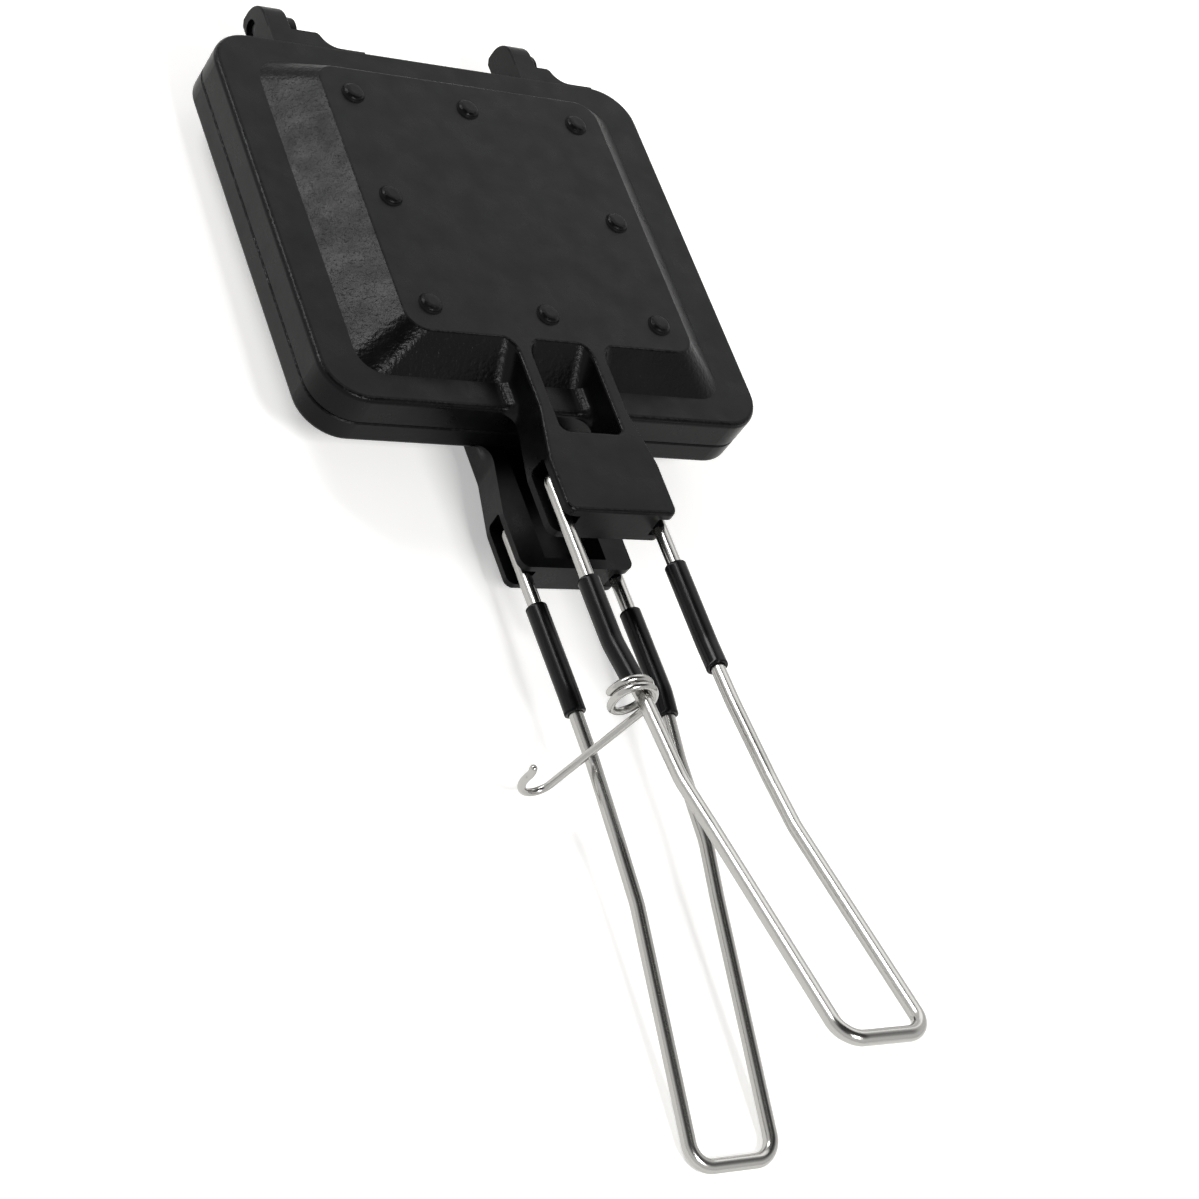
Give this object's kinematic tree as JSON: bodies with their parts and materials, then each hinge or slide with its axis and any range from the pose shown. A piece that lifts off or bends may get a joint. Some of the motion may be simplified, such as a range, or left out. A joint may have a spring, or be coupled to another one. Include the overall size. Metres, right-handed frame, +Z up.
{
  "type": "pie iron",
  "caption": "Hinged cast pie iron for toasting filled sandwiches over a fire or stove, with black coated plates, folding bent-wire handles in soft sleeves and a swinging wire latch hook.",
  "frame": {"origin": "the flat base of the lower plate, at the middle of the plates, between the feet that it stands on", "axes": "+X to the right across the plates along the hinge axis, +Y from the handles towards the hinges, +Z up, square to the closed plates"},
  "size_m": [0.145, 0.3557, 0.0722],
  "materials": {
    "coated_casting": "cast aluminium under a matte black non-stick coating",
    "steel_wire": "drawn stainless steel wire, lightly polished",
    "thin_steel_wire": "drawn stainless spring wire",
    "steel_pin": "turned steel pin with a small chamfer",
    "silicone_sleeve": "smooth black silicone tube"
  },
  "bodies": {
    "lower_plate": {"lower_plate": "coated_casting", "left_hinge_pin": "steel_pin", "right_hinge_pin": "steel_pin"},
    "upper_plate": {"upper_plate": "coated_casting"},
    "upper_handle": {"upper_handle": "steel_wire", "upper_left_sleeve": "silicone_sleeve", "upper_right_sleeve": "silicone_sleeve"},
    "lower_handle": {"lower_handle": "steel_wire", "lower_left_sleeve": "silicone_sleeve", "lower_right_sleeve": "silicone_sleeve"},
    "latch": {"latch_hook": "thin_steel_wire"}
  },
  "joints": [
    {"name": "plate_hinge", "type": "hinge", "parent": "lower_plate", "child": "upper_plate", "pos_m": [0, 0.0778, 0.01845], "axis": [-1, 0, 0], "range_deg": [0, 130]},
    {"name": "upper_handle_fold", "type": "hinge", "parent": "upper_plate", "child": "upper_handle", "pos_m": [0, -0.091, 0.03045], "axis": [-1, 0, 0], "range_deg": [0, 160], "deforming": ["upper_handle"]},
    {"name": "lower_handle_fold", "type": "hinge", "parent": "lower_plate", "child": "lower_handle", "pos_m": [0, -0.091, 0.00645], "axis": [1, 0, 0], "range_deg": [0, 160], "deforming": ["lower_handle"]},
    {"name": "latch_swing", "type": "hinge", "parent": "upper_handle", "child": "latch", "pos_m": [-0.01429, -0.16018, 0.03288], "axis": [0.0621, -0.9915, 0.1142], "range_deg": [-55, 8]}
  ]
}
